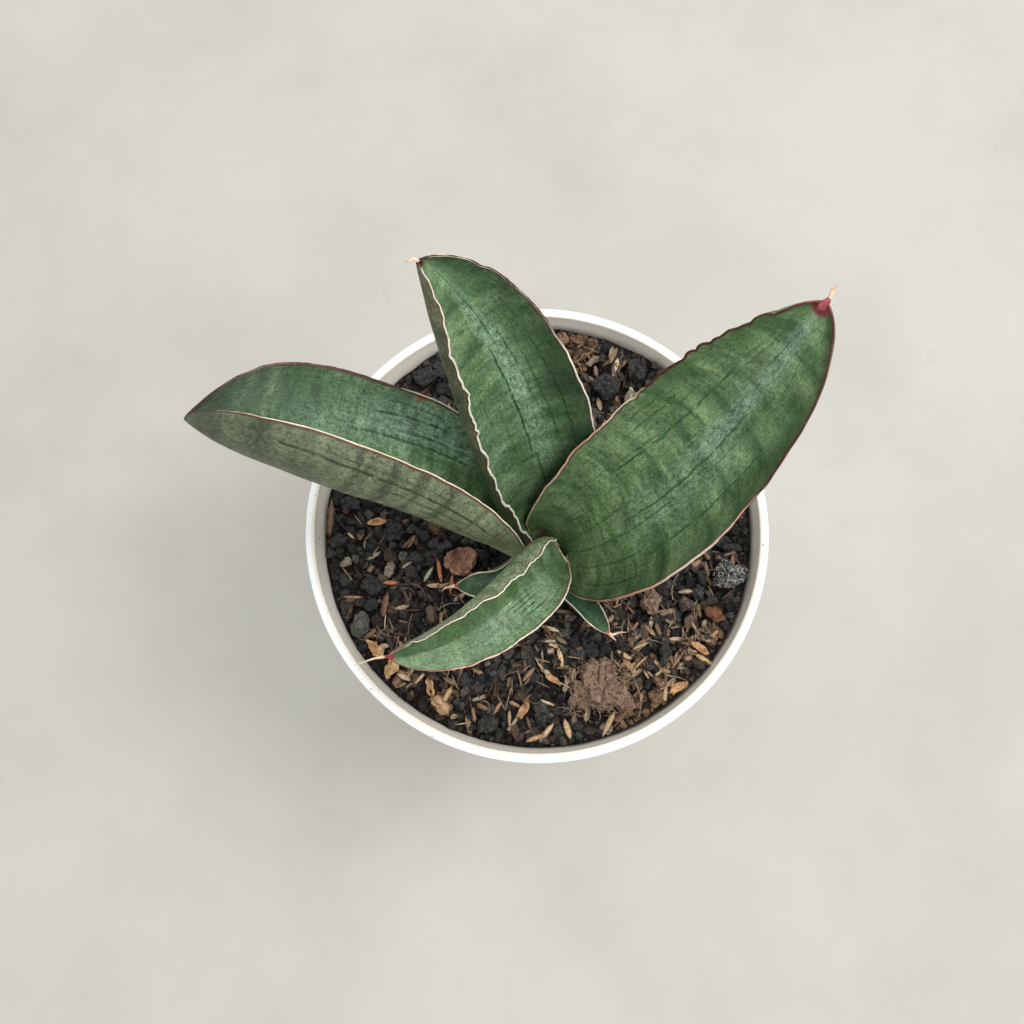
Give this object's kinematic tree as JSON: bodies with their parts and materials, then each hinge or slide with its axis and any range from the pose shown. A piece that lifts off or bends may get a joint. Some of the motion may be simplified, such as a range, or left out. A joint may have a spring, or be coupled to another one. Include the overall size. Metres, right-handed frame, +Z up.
{
  "type": "potted snake plant",
  "caption": "Young snake plant with broad banded trough leaves rising from a round tapered white nursery pot filled with dark grit, husks and coir.",
  "frame": {"origin": "On the pot's axis, at the centre of the flat face it stands on.", "axes": "+Z up along the pot's axis; the largest leaf leans towards +X and +Y, the young front leaf towards -X and -Y."},
  "size_m": [0.1737, 0.16, 0.2342],
  "materials": {
    "pot": "smooth white moulded plastic, slightly glossy",
    "potting_mix": "dark charcoal and volcanic grit with husks and coir fibre",
    "rootstock": "pale brown rhizome and roots",
    "leaf_front": "young leaf, fresh green with faint bands and a red-brown edge",
    "leaf_right": "mid green with dark cross bands, dark lines and a red-brown edge",
    "leaf_back": "blue-green with dark cross bands and a pale dried edge",
    "leaf_left": "green inside, grey-green mottled outside, brown and cream edge",
    "small_leaf_left": "dark green with a pale edge",
    "small_leaf_right": "dark green with a pale edge",
    "coir": "matted brown coconut fibre and dust",
    "charcoal": "matt black charcoal",
    "speckled_stone": "grey with white speckles",
    "mottled_stone": "grey-green mottled",
    "brown_stone": "brown, rough",
    "bark_flake": "brown bark",
    "pale_stone": "pale buff",
    "curled_leaf_scrap": "dry brown leaf",
    "dry_stick": "dry orange-brown stalk",
    "tan_scrap": "dry tan leaf",
    "rice_husk": "dry husk"
  },
  "bodies": {
    "root": {"bark_flake": "bark_flake", "brown_stone": "brown_stone", "charcoal_east": "charcoal", "charcoal_far_east": "charcoal", "charcoal_front": "charcoal", "charcoal_inner_west": "charcoal", "charcoal_near_leaf": "charcoal", "charcoal_north": "charcoal", "charcoal_northeast": "charcoal", "charcoal_northwest": "charcoal", "charcoal_southwest": "charcoal", "charcoal_west": "charcoal", "coir_crumb": "coir", "coir_lump": "coir", "curled_leaf_scrap": "curled_leaf_scrap", "dry_stick_long": "dry_stick", "dry_stick_short": "dry_stick", "leaf_back": "leaf_back", "leaf_front": "leaf_front", "leaf_left": "leaf_left", "leaf_right": "leaf_right", "mottled_stone": "mottled_stone", "pale_chip_north": "pale_stone", "pale_pebble_middle": "pale_stone", "pale_pebble_north": "pale_stone", "pale_pebble_west": "pale_stone", "pot": "pot", "potting_mix": "potting_mix", "rice_husk_east": "rice_husk", "rice_husk_front": "rice_husk", "rice_husk_south": "rice_husk", "rice_husk_southeast": "rice_husk", "rice_husk_southwest": "rice_husk", "rice_husk_west": "rice_husk", "rootstock": "rootstock", "small_leaf_left": "small_leaf_left", "small_leaf_right": "small_leaf_right", "speckled_stone": "speckled_stone", "tan_scrap_lower": "tan_scrap", "tan_scrap_upper": "tan_scrap"}
  },
  "joints": []
}
